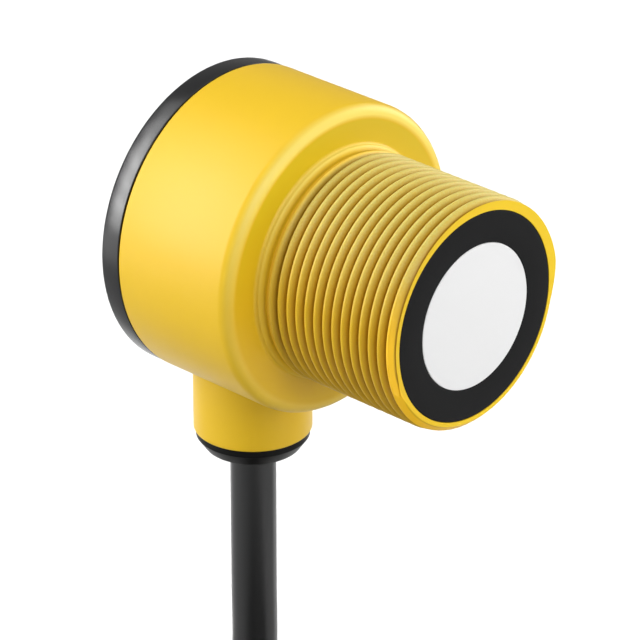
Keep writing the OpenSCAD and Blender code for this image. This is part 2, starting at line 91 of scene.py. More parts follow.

# %% [markdown]
# ## The cable's way
#
# Two metres of cable leave the gland. It hangs straight down, swings over and is wound into a coil that lies
# on the floor under the picture's edge. The hanging stretch is a smooth line through listed points.
# The coil is a rule: nine turns, three beside each other in three layers. Near the same place in each turn
# the cable steps over to its next slot, and where it changes layer it bulges a little to pass its
# neighbours.

# %% The coil's slots
# The points of the hanging stretch are in metres.
cable_d = 6 * MM
hanging = [
    (0, 0.038, -0.0215), (0, 0.038, -0.031), (0, 0.038, -0.042), (0, 0.038, -0.052), (0, 0.038, -0.062),
    (-0.001, 0.038, -0.069), (-0.0035, 0.038, -0.075), (-0.0075, 0.038, -0.0805), (-0.013, 0.038, -0.0845),
    (-0.0195, 0.038, -0.087), (-0.026, 0.038, -0.088),
]
coil_top = hanging[-1][2]
coil_x = -26 * MM
coil_y = -3 * MM
coil_r = 35 * MM
coil_rows = 3
outer_first = [coil_r + cable_d, coil_r, coil_r - cable_d]
slots = []
for layer in range(coil_rows):
    rows = outer_first if layer % 2 == 0 else outer_first[::-1]
    slots += [(row, coil_top - layer * cable_d) for row in rows]
print("slots in mm:", [(round(radius / MM), round(height / MM)) for radius, height in slots])

# %% Centre line of the cable
# Angles are in degrees of winding. Each turn starts where the hanging stretch comes down on the coil.
coil_start = 90
step_from = 210
step_over = 150
bulge = 2.6 * MM
bulge_half = 60
bulge_fade = 50
degrees_a_point = 5
points_a_stretch = 4


def ease(share):
    """A smooth step from 0 to 1."""
    share = min(max(share, 0), 1)
    return share * share * (3 - 2 * share)


def coil_point(angle):
    """Where the cable is after that many degrees of winding."""
    turn = int(angle // 360)
    radius, height = slots[turn]
    next_radius, next_height = slots[min(turn + 1, len(slots) - 1)]
    over = ease((angle % 360 - step_from) / step_over)
    radius += (next_radius - radius) * over
    height += (next_height - height) * over
    for layer in range(1, coil_rows):
        change = 360 * (layer * coil_rows - 1) + step_from + step_over / 2
        outwards = -1 if layer % 2 else 1
        radius += outwards * bulge * (1 - ease((abs(angle - change) - bulge_half) / bulge_fade))
    place = math.radians(coil_start + angle)
    return Vector((coil_x + radius * math.cos(place), coil_y + radius * math.sin(place), height))


def through(points, steps):
    """A smooth line through all but the last of the points, with that many steps from one to the next."""
    line = []
    for i, (here, there) in enumerate(zip(points[:-2], points[1:])):
        before = points[max(i - 1, 0)]
        after = points[i + 2]
        bend = 2 * before - 5 * here + 4 * there - after
        twist = 3 * (here - there) + after - before
        for share in (step / steps for step in range(steps)):
            line.append(here + (share * (there - before) + share ** 2 * bend + share ** 3 * twist) / 2)
    return line


wound = 360 * (len(slots) - 1) + step_from
coil_line = [coil_point(angle) for angle in range(0, wound + 1, degrees_a_point)]
down_to_coil = [Vector(point) for point in hanging[:-1]] + [coil_line[0], coil_line[2]]
cable_line = through(down_to_coil, points_a_stretch) + coil_line
cable_length = sum((b - a).length for a, b in zip(cable_line, cable_line[1:]))
print("cable line:", len(cable_line), "points,", round(cable_length, 3), "m")

# %% [markdown]
# ## Small tools
#
# A curve with a round section is the quickest way to a wire. A turned part is a closed outline of radius and
# height, rounded at its corners and swept round an axis: real moulded edges are never quite sharp, and the
# thin line of light on a rounded edge is what makes a part look moulded. Posts are joined on and holes are
# cut away as whole solids, so the mesh stays closed.

# %% Helpers for wires and meshes
def add_object(name, data):
    piece = bpy.data.objects.new(name, data)
    bpy.context.scene.collection.objects.link(piece)
    return piece


def wire(name, points, radius, resolution):
    """A round wire or cable along points, with closed ends. resolution is that of the curve's bevel."""
    line = bpy.data.curves.new(name, "CURVE")
    line.dimensions = "3D"
    line.bevel_depth = radius
    line.bevel_resolution = resolution
    line.use_fill_caps = True
    spline = line.splines.new("POLY")
    spline.points.add(len(points) - 1)
    for knot, place in zip(spline.points, points):
        knot.co = (*place, 1)
    spline.use_smooth = True
    return add_object(name, line)


def shade(piece, angle=35):
    """Smooth shading that keeps edges sharper than angle."""
    piece.data.shade_smooth()
    piece.data.set_sharp_from_angle(angle=math.radians(angle))


def mesh_piece(name, corners, faces, angle=35):
    """A mesh from corners and faces, with corners in the same place joined and all faces turned outwards."""
    mesh = bpy.data.meshes.new(name)
    mesh.from_pydata(corners, [], faces)
    work = bmesh.new()
    work.from_mesh(mesh)
    bmesh.ops.remove_doubles(work, verts=work.verts, dist=1e-7)
    bmesh.ops.recalc_face_normals(work, faces=work.faces)
    work.to_mesh(mesh)
    work.free()
    piece = add_object(name, mesh)
    shade(piece, angle)
    return piece


print("tools for wires and meshes ready")

# %% Helpers for turned parts
corner_steps = 5


def rounded(corners):
    """An outline of (radius, height, rounding) in mm, as points in metres with its corners rounded."""
    outline = []
    for i, (radius, height, rounding) in enumerate(corners):
        corner = Vector((radius, height))
        if not rounding:
            outline.append(corner * MM)
            continue
        before = (Vector(corners[i - 1][:2]) - corner).normalized()
        after = (Vector(corners[(i + 1) % len(corners)][:2]) - corner).normalized()
        half = before.angle(after) / 2
        middle = corner + (before + after).normalized() * rounding / math.sin(half)
        start = corner + before * rounding / math.tan(half) - middle
        end = corner + after * rounding / math.tan(half) - middle
        for share in (k / corner_steps for k in range(corner_steps + 1)):
            outline.append((middle + start.slerp(end, share).normalized() * rounding) * MM)
    return outline


def turned(name, outline, place, steps=128):
    """Sweeps a closed outline of (radius, height) round place's own Z axis."""
    count = len(outline)
    corners = []
    faces = []
    for i in range(steps):
        angle = math.tau * i / steps
        first = i * count
        second = (i + 1) % steps * count
        for k, (radius, height) in enumerate(outline):
            after = (k + 1) % count
            corners.append(place @ Vector((radius * math.cos(angle), radius * math.sin(angle), height)))
            faces.append((first + k, second + k, second + after, first + after))
    return mesh_piece(name, corners, faces)


def plug(radius, low, high, place, steps=64):
    """A plain round plug to join on or to cut with. low and high are heights in mm along place's Z axis."""
    corners = [(0, low, 0), (radius, low, 0), (radius, high, 0), (0, high, 0)]
    return turned("plug", rounded(corners), place, steps)


def carve(piece, tool, operation):
    """Joins another closed mesh to the piece, or cuts it away."""
    step = piece.modifiers.new(operation, "BOOLEAN")
    step.operation = operation
    step.solver = "EXACT"
    step.object = tool
    graph = bpy.context.evaluated_depsgraph_get()
    piece.data = bpy.data.meshes.new_from_object(piece.evaluated_get(graph))
    piece.modifiers.clear()
    bpy.data.objects.remove(tool)


along_barrel = Matrix.Rotation(math.radians(-90), 4, "X")
print("tools for turned parts ready")

# %% [markdown]
# ## Colour and material tools
#
# Colours are read off as the hex values that a screen shows, and the renderer wants them linear. Patterns
# are sized in millimetres: a noise of scale 1 repeats about once a metre here, so a grain of g mm has the
# scale 1000 / g. One small function adds a node with its settings and its links.

# %% Helpers that make materials
def colour(hex_value):
    """An sRGB hex colour as linear light."""
    parts = [int(hex_value[i:i + 2], 16) / 255 for i in (1, 3, 5)]
    return [c / 12.92 if c <= 0.04045 else ((c + 0.055) / 1.055) ** 2.4 for c in parts] + [1]


def grain_scale(size):
    """The noise scale whose grain is that many mm across."""
    return 1 / (size * MM)


def add_node(tree, kind, settings=None, *feeds, **named_feeds):
    """Adds a node. settings are its properties or the values of its inputs. feeds are sockets that feed its
    first inputs in turn, and named_feeds are sockets that feed the input of that name."""
    node = tree.nodes.new("ShaderNode" + kind)
    for name, value in (settings or {}).items():
        if name in node.inputs:
            node.inputs[name].default_value = value
        else:
            setattr(node, name, value)
    for socket, entry in zip(feeds, node.inputs):
        tree.links.new(socket, entry)
    for name, socket in named_feeds.items():
        tree.links.new(socket, node.inputs[name.replace("_", " ")])
    return node


def new_material(name, **values):
    """A material with a plain Principled shader, and its tree, shader and place in the object."""
    material = bpy.data.materials.new(name)
    material.use_nodes = True
    tree = material.node_tree
    shader = tree.nodes["Principled BSDF"]
    for key, value in values.items():
        shader.inputs[key.replace("_", " ")].default_value = value
    place = add_node(tree, "TexCoord").outputs["Object"]
    return material, tree, shader, place


def dress(piece, material):
    """Gives a piece its only material."""
    piece.data.materials.clear()
    piece.data.materials.append(material)


def dress_nodes(material, *node_names):
    """Gives a finish to nodes whose solids stay as they are."""
    for node_name in node_names:
        dress(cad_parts[node_name], material)


print("material tools ready")

# %% [markdown]
# Moulded and cast surfaces have three things in common: a fine grain from the mould, a gloss that changes
# with that grain, and a tone that drifts slowly where the melt flowed. One flat colour would look like a
# screen graphic, so each finish gets all three. Plastics and rubbers bend light by about 1.5.

# %% Moulded finishes
tone_drift = 9
gloss_spread = 0.04


def moulded(name, hex_value, roughness, grain, relief, tone=0.06, shine=0.5):
    """A moulded, cast or pressed finish. grain and relief are the width and height of its grain in mm. tone
    is how much darker its dark patches are. shine is how strongly it mirrors, 0.5 for what its IOR says."""
    material, tree, shader, place = new_material(
        name, Roughness=roughness, IOR=1.5, Specular_IOR_Level=shine,
    )
    fine = add_node(tree, "TexNoise", {"Scale": grain_scale(grain), "Detail": 3.0}, Vector=place)
    slow = add_node(tree, "TexNoise", {"Scale": grain_scale(tone_drift), "Detail": 2.0}, Vector=place)
    light = colour(hex_value)
    dark = [c * (1 - tone) for c in light[:3]] + [1]
    mix = add_node(tree, "MixRGB", {"Color1": dark, "Color2": light}, Fac=slow.outputs["Fac"])
    spread = {"To Min": roughness - gloss_spread, "To Max": roughness + gloss_spread}
    gloss = add_node(tree, "MapRange", spread, Value=fine.outputs["Fac"])
    bump = add_node(tree, "Bump", {"Strength": 1.0, "Distance": relief * MM}, Height=fine.outputs["Fac"])
    tree.links.new(mix.outputs["Color"], shader.inputs["Base Color"])
    tree.links.new(gloss.outputs["Result"], shader.inputs["Roughness"])
    tree.links.new(bump.outputs["Normal"], shader.inputs["Normal"])
    return material


print("tone drifts over", tone_drift, "mm, gloss by", gloss_spread, "to both sides")

# %% [markdown]
# ## Finishes that show
#
# The body is thermoplastic polyester from a spark-eroded mould: its fine grain spreads the highlights into
# broad satin ones. The cover is ABS from a smoother mould, so it draws the lamps as narrow bright lines. The
# gland is nylon, dull and almost without reflections. The cable's jacket is extruded vinyl, with a soft
# sheen along its length. The ring round the transducer is a cast elastomer, dark and dry. The white layer on
# the face is epoxy filled with glass bubbles, cast and ground flat, so it is dead matte. The keys are
# silicone rubber, a soft dull grey, and the tie round the coil is undyed nylon, milky and a little waxy.
# Real mould grain is a few hundredths of a millimetre wide. A pixel of the picture is 0.12 mm, so the grain
# is drawn at least that wide.

# %% Finishes of the outside
polyester_yellow = moulded("polyester_moulded_yellow", "#E6BC1A", 0.42, 0.16, 0.0035, tone=0.03, shine=0.4)
abs_black = moulded("abs_moulded_black", "#151516", 0.24, 0.2, 0.002, shine=0.56)
nylon_black = moulded("nylon_moulded_black", "#070707", 0.4, 0.25, 0.003, shine=0.16)
vinyl_jacket = moulded("vinyl_extruded_black", "#0E0E0F", 0.34, 0.5, 0.006, shine=0.75)
elastomer_dark = moulded("elastomer_cast_dark", "#0D0D0E", 0.55, 0.15, 0.003, shine=0.2)
epoxy_white = moulded("epoxy_cast_bubble_filled", "#E8E8E8", 0.75, 0.12, 0.002, tone=0.015)
silicone_grey = moulded("silicone_moulded_grey", "#3A3C3F", 0.5, 0.2, 0.004)
nylon_natural = moulded("nylon_moulded_natural", "#DAD9CF", 0.38, 0.3, 0.003)
print("outside finishes ready")

# %% [markdown]
# ## Clear and bare-metal finishes
#
# The light pipes are clear acrylic, so they are glass to the renderer with the acrylic's index of 1.49. The
# stripped wire ends are copper strands dipped in tin: metal, a little dull. The screws are steel with a thin
# bluish coat of zinc, the ferrule is turned brass and the capacitors' cans are drawn aluminium. Each keeps
# fine marks of its making, which blur what it mirrors. A metal has no index of its own here.

# %% Acrylic and metals
acrylic_clear = new_material(
    "acrylic_moulded_clear", Roughness=0.06, IOR=1.49, Transmission_Weight=0.85,
    Base_Color=colour("#EEF4F2"),
)[0]


def metal(name, hex_value, roughness, grain, relief):
    """Metal with a fine worked surface. grain and relief are the width and height of its marks in mm."""
    material, tree, shader, place = new_material(
        name, Metallic=1.0, Roughness=roughness, Base_Color=colour(hex_value),
    )
    worked = add_node(tree, "TexNoise", {"Scale": grain_scale(grain), "Detail": 2.0}, Vector=place)
    bump = add_node(tree, "Bump", {"Strength": 1.0, "Distance": relief * MM}, Height=worked.outputs["Fac"])
    tree.links.new(bump.outputs["Normal"], shader.inputs["Normal"])
    return material


tinned_copper = metal("copper_tinned", "#C9C7C2", 0.32, 0.15, 0.006)
steel_zinc = metal("steel_zinc_plated", "#B9BBBD", 0.3, 0.3, 0.002)
brass_turned = metal("brass_turned", "#D0A65A", 0.28, 0.2, 0.002)
aluminium_drawn = metal("aluminium_drawn", "#C8CACC", 0.35, 0.2, 0.002)
print("acrylic and metals ready")

# %% [markdown]
# ## Finishes inside the case
#
# The inside never shows in the picture, but the model can be opened. The transducer is a biscuit-coloured
# disc of sintered ceramic under potted silicone, blue-grey and slightly uneven as it set. A brown laminate
# with paper in it closes the cup, and the two leads are coated with smooth red enamel.

# %% Finishes of the transducer
dress_nodes(moulded("ceramic_sintered", "#CBBE9E", 0.5, 0.1, 0.003), "piezo_disc")
dress_nodes(moulded("silicone_potted", "#3A4248", 0.45, 0.4, 0.01), "damping_block")
dress_nodes(moulded("phenolic_laminate_pressed", "#8A5A30", 0.4, 0.3, 0.004), "cup_cap")
dress_nodes(moulded("enamel_baked_red", "#A02A22", 0.3, 0.3, 0.002), "transducer_leads")
print("transducer dressed")

# %% [markdown]
# Circuit boards are glass cloth in epoxy under green solder mask, and the cloth's weave prints through as a
# faint check of half a millimetre. Two wave patterns across each other draw it. The chips are dull moulded
# epoxy, the ferrite core is sintered and as dark as slate, and its winding of enamelled copper shows coarse
# ridges. Pin headers and switches are black nylon, and the plungers are white acetal, slippery to the eye.

# %% Finishes of the electronics
# At scale 1 the wave pattern has 20 / tau waves to a unit of length.
waves_a_unit = 20 / math.tau


def solder_mask(name, hex_value, weave):
    """Lacquer over glass cloth. weave is the distance from thread to thread in mm."""
    material, tree, shader, place = new_material(
        name, Roughness=0.32, IOR=1.52, Base_Color=colour(hex_value),
    )
    scale = grain_scale(weave) / waves_a_unit
    warp = add_node(tree, "TexWave", {"Scale": scale, "bands_direction": "X"}, Vector=place)
    weft = add_node(tree, "TexWave", {"Scale": scale, "bands_direction": "Z"}, Vector=place)
    cloth = add_node(tree, "Math", {"operation": "MULTIPLY"}, warp.outputs["Fac"], weft.outputs["Fac"])
    bump = add_node(tree, "Bump", {"Strength": 0.6, "Distance": 0.01 * MM}, Height=cloth.outputs["Value"])
    tree.links.new(bump.outputs["Normal"], shader.inputs["Normal"])
    return material


nylon_header = moulded("nylon_moulded_header", "#202021", 0.45, 0.2, 0.003)
green_mask = solder_mask("solder_mask_cured_green", "#1E6B3C", 0.5)
dress_nodes(green_mask, "driver_board", "main_board", "display_board")
dress_nodes(nylon_header, "barrel_link", "rear_link", "switch_left", "switch_right")
dress_nodes(moulded("epoxy_moulded_chip", "#232324", 0.6, 0.08, 0.003), "controller_chip", "signal_chips")
dress_nodes(moulded("ferrite_sintered", "#3B3B3E", 0.55, 0.12, 0.004), "transformer_core")
dress_nodes(moulded("copper_enamelled_wound", "#A9602A", 0.35, 0.25, 0.02), "transformer_winding")
dress_nodes(moulded("epoxy_cast_clear", "#EDE7C6", 0.2, 0.3, 0.001), "status_leds")
dress_nodes(moulded("acetal_moulded_white", "#E6E4DC", 0.3, 0.3, 0.002), "plunger_left", "plunger_right")
dress_nodes(aluminium_drawn, "capacitors")
print("electronics dressed")

# %% [markdown]
# The seals are nitrile rubber, matte black. The ferrule that grips the jacket is brass and the screws are
# plated steel. The inner wires keep their solids and get a warm vinyl, the light pipes their acrylic, and
# the tie round the coil its undyed nylon.

# %% Finishes of seals, fixings and the rest
dress_nodes(moulded("nitrile_rubber_moulded", "#141414", 0.6, 0.3, 0.004), "cover_gasket", "gland_seal")
dress_nodes(brass_turned, "cable_ferrule")
dress_nodes(steel_zinc, "board_screws")
dress_nodes(moulded("vinyl_extruded_inner", "#A5713E", 0.4, 0.3, 0.003), "inner_wires")
dress_nodes(acrylic_clear, "light_pipes")
dress_nodes(nylon_natural, "cable_tie")
print("seals, fixings, inner wires, light pipes and tie dressed")

# %% [markdown]
# ## The cable and its end
#
# The jacket is one long curve with a round section, so that its ends are cut square and its length can be
# measured. At its far end the jacket is stripped, as on any sensor that is sold with a free cable: five
# coloured wires come out, each with a tinned end.

# %% Cable and coil
cable = wire("cable_run", cable_line, cable_d / 2, resolution=7)
dress(cable, vinyl_jacket)
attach(cable, "root")
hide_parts("cable", "cable_coil")
print("cable ends at", [round(side / MM, 1) for side in cable_line[-1]], "mm")

# %% [markdown]
# The wires lie in a ring in the jacket. They leave it straight, pass over to a gate at the inner side of the
# coil, one beside the other, and from there bow down on the floor and fan out a little.

# %% Way of the loose wires
# Directions are in degrees from +X towards +Y. What ends in apart is from one wire to the next.
floor_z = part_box("wire_brown")[0].z
cable_end = cable_line[-1]
cable_out = (cable_line[-1] - cable_line[-2]).normalized()
loose_r = 0.6 * MM
loose_l = 20 * MM
ring_in_jacket = 1.3 * MM
first_in_ring = 40
stripped_l = 3 * MM
straight_l = 1.5 * MM
gate_in = 8.4 * MM
gate_at = 304
gate_apart = 5
bow_l = 8 * MM
bow_heading = 94
end_heading = 134
fan_apart = 8
steps_over = 8
steps_down = 12
loose_colours = {
    "brown": "#6B4024", "blue": "#2A5FB4", "black": "#1A1A1A", "white": "#E6E6E3", "grey": "#8C8D90",
}


def level_step(length, degrees):
    """A step of that length on the level, in that direction."""
    heading = math.radians(degrees)
    return Vector((length * math.cos(heading), length * math.sin(heading), 0))


def bow(start, pull, end, shares):
    """Points at those shares of a bow from start to end that is drawn towards pull."""
    return [(1 - t) ** 2 * start + 2 * t * (1 - t) * pull + t * t * end for t in shares]


def loose_line(k):
    """Wire number k, out of the jacket, over to the inner side of the coil and down on the floor."""
    in_ring = math.radians(360 / len(loose_colours) * k + first_in_ring)
    sideways = Vector((-cable_out.y, cable_out.x, 0)) * math.cos(in_ring)
    upwards = Vector((0, 0, math.sin(in_ring)))
    start = cable_end + (sideways + upwards) * ring_in_jacket
    leave = start + cable_out * straight_l
    gate = Vector((coil_x, coil_y, cable_end.z)) + level_step(coil_r - gate_in, gate_at + gate_apart * k)
    drop = Vector((0, 0, floor_z + loose_r - gate.z))
    half_way = leave + cable_out * (gate - leave).length / 2
    bowed = gate + level_step(bow_l, bow_heading) + drop
    end = gate + level_step(loose_l, end_heading - fan_apart * k) + drop
    over = bow(leave, half_way, gate, [step / steps_over for step in range(1, steps_over)])
    down = bow(gate, bowed, end, [step / steps_down for step in range(steps_down + 1)])
    return [start - cable_out * stripped_l, leave] + over + down


loose_lines = [loose_line(k) for k in range(len(loose_colours))]
print("wire ends in mm:", [[round(side / MM, 1) for side in line[-1]] for line in loose_lines])

# %% Loose wires
for line, (name, hex_value) in zip(loose_lines, loose_colours.items()):
    piece = wire("loose_wire_" + name, line, loose_r, resolution=4)
    dress(piece, moulded("vinyl_extruded_wire_" + name, hex_value, 0.38, 0.25, 0.002))
    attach(piece, "root")
    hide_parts("wire_" + name)

# %% [markdown]
# ## The tinned wire ends
#
# Each wire's copper is a twist of fine strands. A smooth rod would look like a pin, so the section has seven
# lobes that turn along the way.

# %% Tinned ends
tip_l = 4 * MM
tip_r = 0.255 * MM
strands = 7
strand_rise = 0.035 * MM
twist_over_tip = 9
tip_sides = 28
tip_rings = 16


def strand_twist(line_end, direction, corners, faces):
    """Adds the strands of one wire. twist_over_tip is in radians."""
    side = direction.cross(Vector((0, 0, 1))).normalized()
    over = direction.cross(side)
    first = len(corners)
    last = first + tip_rings * tip_sides
    for i in range(tip_rings + 1):
        share = i / tip_rings
        for j in range(tip_sides):
            around = math.tau * j / tip_sides
            reach = tip_r + strand_rise * math.cos(strands * around + twist_over_tip * share)
            outwards = side * math.cos(around) + over * math.sin(around)
            corners.append(line_end + direction * tip_l * share + outwards * reach)
    for ring in range(first, last, tip_sides):
        for j in range(tip_sides):
            a = ring + j
            b = ring + (j + 1) % tip_sides
            faces.append((a, b, b + tip_sides, a + tip_sides))
    faces.append([first + j for j in range(tip_sides)][::-1])
    faces.append([last + j for j in range(tip_sides)])


tip_corners = []
tip_faces = []
for line in loose_lines:
    strand_twist(line[-1], (line[-1] - line[-2]).normalized(), tip_corners, tip_faces)
tips = mesh_piece("tinned_ends", tip_corners, tip_faces, angle=60)
dress(tips, tinned_copper)
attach(tips, "root")
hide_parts("wire_tips")
print("tip faces:", len(tip_faces))

# %% [markdown]
# Where the cable leaves the boss is read off the gland's solid.

# %% Where the cable leaves
gland_low, gland_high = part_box("cable_gland")
boss_y = (gland_low.y + gland_high.y) / 2
print("cable leaves at", [round(side / MM, 1) for side in (0, boss_y, gland_low.z)], "mm")

# %% [markdown]
# ## The threaded barrel and the body
#
# Barrel and body are one moulding. The solid has ring grooves, but a real thread is one helix: follow a
# crest round and it ends up one pitch further on. The barrel could be a plain tube with a bump map, but the
# crests cut the outline, so the thread is real here. Moulded crests are round and the roots are sharp, which
# is the shape of a cosine with its negative half turned up. Every column of the mesh follows the helix.
# Columns that would pass the sensing face are held back on it, so the face cuts the thread as it does in the
# picture. Where the thread starts, it is cut back to a narrow land. Further round the land turns into a
# lead-in at 45 degrees, which takes the first crest down to the mouth over half a turn.

# %% Start of the thread
# Angles go round the barrel from +X towards +Z, in degrees. A span is where a cut starts, over how many
# degrees it sinks in, where it ends, and over how many degrees it rises again.
thread_r = 15.0
lead_in_r = 14.1
chamfer_span = (185, 30, 375, 30)
land_span = (125, 25, 222, 30)
land_l = 0.22
land_rise = 2.6
uncut_at = 90


def cut_there(degrees, start, sink, end, rise):
    """How deep a cut is at that angle, 0 to 1."""
    return ease((degrees - start) / sink) * ease((end - degrees) / rise)


def lead_in(degrees, y):
    """The largest radius near the mouth. Only the start of the thread is taken down there."""
    beyond = degrees if degrees > uncut_at else degrees + 360
    depth = thread_r - lead_in_r
    chamfer = thread_r - depth * cut_there(beyond, *chamfer_span) + y
    land = thread_r - depth * cut_there(beyond, *land_span) + max(y - land_l, 0) * land_rise
    return min(chamfer, land)


print("largest radius at the face:", [round(lead_in(degrees, 0), 2) for degrees in range(0, 360, 45)], "mm")

# %% Shape of the thread
# A metric thread is 0.613 of its pitch deep. A hair is added before pitches are counted, so that a column on
# a crest isn't taken for one in front of it.
pitch = 1.5
thread_l = 21.0
thread_depth = 0.613 * pitch
first_crest = 1.0
first_crest_at = 100
runout_from = 20.15
runout_l = 0.6
relief_r = 14.72
relief_from = 20.3
columns_a_pitch = 16
turns = range(-3, 15)
hair = 1e-6


def groove(pitches):
    """Depth of the thread, 0 to 1, that many pitches behind the middle of a crest."""
    return 1 - abs(math.cos(math.pi * pitches))


def thread_columns(degrees):
    """(radius, y) of each column of the thread at that angle round the barrel."""
    crest_y = first_crest - pitch * (degrees - first_crest_at) / 360
    columns = []
    for turn in turns:
        for step in range(columns_a_pitch):
            y = crest_y + pitch * (turn + step / columns_a_pitch)
            held = min(max(y, 0), thread_l)
            pitches = (held - crest_y) / pitch
            valley = crest_y + pitch * (math.floor(pitches + hair) + 0.5)
            left = 1 - ease((valley - runout_from) / runout_l)
            radius = thread_r - thread_depth * groove(pitches) * left
            radius -= (thread_r - relief_r) * ease((held - relief_from) / (thread_l - relief_from))
            columns.append((min(radius, lead_in(degrees, held)), held))
    return columns


print("columns:", len(thread_columns(0)), "groove depth:", round(thread_depth, 3), "mm")

# %% [markdown]
# The rest of the outside is a plain outline: the relief groove, the collar, the shoulder with its large
# rounding, and the body up to the seam. Behind the last column of a full turn comes the first column one
# pitch further on, so the two edges of the sweep close on each other.

# %% Outside of barrel and body
body_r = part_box("housing")[1].x / MM
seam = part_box("cover_gasket")[0].y / MM
shoulder_y = 22.5
shoulder_round = 1.5
shoulder_foot = 0.4
collar_r = 15.2
collar_y = 21.95
collar_round = 0.3
relief_y = 21.35
relief_round = 0.25
seam_edge = 0.12
barrel_steps = 192
behind_thread = rounded([
    (relief_r, thread_l, 0), (relief_r, relief_y, relief_round), (collar_r, collar_y, collar_round),
    (collar_r, shoulder_y, shoulder_foot), (body_r, shoulder_y, shoulder_round), (body_r, seam, seam_edge),
    (0, seam, 0), (0, 0, 0),
])
outer_corners = []
for i in range(barrel_steps):
    angle = math.tau * i / barrel_steps
    section = [(r * MM, y * MM) for r, y in thread_columns(360 * i / barrel_steps)]
    section += [tuple(point) for point in behind_thread]
    outer_corners += [(r * math.cos(angle), y, r * math.sin(angle)) for r, y in section]
thread_count = len(turns) * columns_a_pitch
section_count = thread_count + len(behind_thread)


def corner_index(i, k):
    """Number of corner k of section i. After a full turn the thread's columns have moved on by one pitch."""
    k = k % section_count
    if i == barrel_steps and k < thread_count:
        k = max(k - columns_a_pitch, 0)
    return (i % barrel_steps) * section_count + k


outer_faces = []
for i in range(barrel_steps):
    for k in range(section_count):
        loop = [
            corner_index(i, k), corner_index(i, k + 1), corner_index(i + 1, k + 1), corner_index(i + 1, k),
        ]
        loop = list(dict.fromkeys(loop))
        if len(loop) > 2:
            outer_faces.append(loop)
housing = mesh_piece("housing_moulding", outer_corners, outer_faces)
print("seam at", round(seam, 2), "mm, housing outside:", len(housing.data.polygons), "faces")

# %% [markdown]
# The boss for the cable is a stub of cylinder that meets the body in a crisp line. It is joined on, and then
# the hollows are cut: the stepped bore for the transducer and the boards, the bore for the gland and the way
# for the wires. Joining before cutting keeps the wall between them whole.

# %% Boss
on_boss = Matrix.Translation((0, boss_y, 0))
gland_r = (gland_high.x - gland_low.x) / 2 / MM
gland_inset = 0.3
gland_shown = 2.6
gland_bottom = gland_low.z / MM
boss_r = gland_r + gland_inset
boss_bottom = gland_bottom + gland_shown
boss_edge = 0.3
boss_top = -12
clear_of_body = 0.1
behind_seam = 60
boss = turned("boss", rounded([
    (0, boss_top, 0), (boss_r, boss_top, 0), (boss_r, boss_bottom, boss_edge), (0, boss_bottom, 0),
]), on_boss)
carve(boss, plug(body_r + clear_of_body, seam, behind_seam, along_barrel, steps=128), "DIFFERENCE")
carve(housing, boss, "UNION")
print("boss", round(2 * boss_r, 2), "mm across, down to", round(boss_bottom, 2), "mm")

# %% Hollows
fit = 0.05
play = 0.2
cup_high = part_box("transducer_cup")[1]
ring_r = cup_high.x / MM
ring_t = 3
cup_l = cup_high.y / MM
bore_r = 12.25
rib_r = 11.25
rib_y = cup_l + play
driver_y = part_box("driver_board")[0].y / MM
ledge_r = 16.65
main_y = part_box("main_board")[0].y / MM
cavity_r = 18.15
cavity_y = 25
before_face = -1
gland_bore_r = 5.2
gland_bore_top = -21.5
below_gland = -40
wire_way_r = 2.4
wire_way_top = -9
wire_way_bottom = gland_bore_top - 0.5
hollow = turned("hollow", rounded([
    (0, before_face, 0), (ring_r + fit, before_face, 0), (ring_r + fit, ring_t, 0), (bore_r, ring_t, 0),
    (bore_r, rib_y, 0), (rib_r, rib_y, 0), (rib_r, driver_y, 0), (bore_r, driver_y, 0),
    (bore_r, cavity_y, 0), (ledge_r, cavity_y, 0), (ledge_r, main_y, 0), (cavity_r, main_y, 0),
    (cavity_r, behind_seam, 0), (0, behind_seam, 0),
]), along_barrel)
carve(housing, hollow, "DIFFERENCE")
carve(housing, plug(gland_bore_r, below_gland, gland_bore_top, on_boss), "DIFFERENCE")
carve(housing, plug(wire_way_r, wire_way_bottom, wire_way_top, on_boss), "DIFFERENCE")
shade(housing, angle=30)
dress(housing, polyester_yellow)
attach(housing, "root")
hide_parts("housing")
print("housing:", len(housing.data.polygons), "faces")
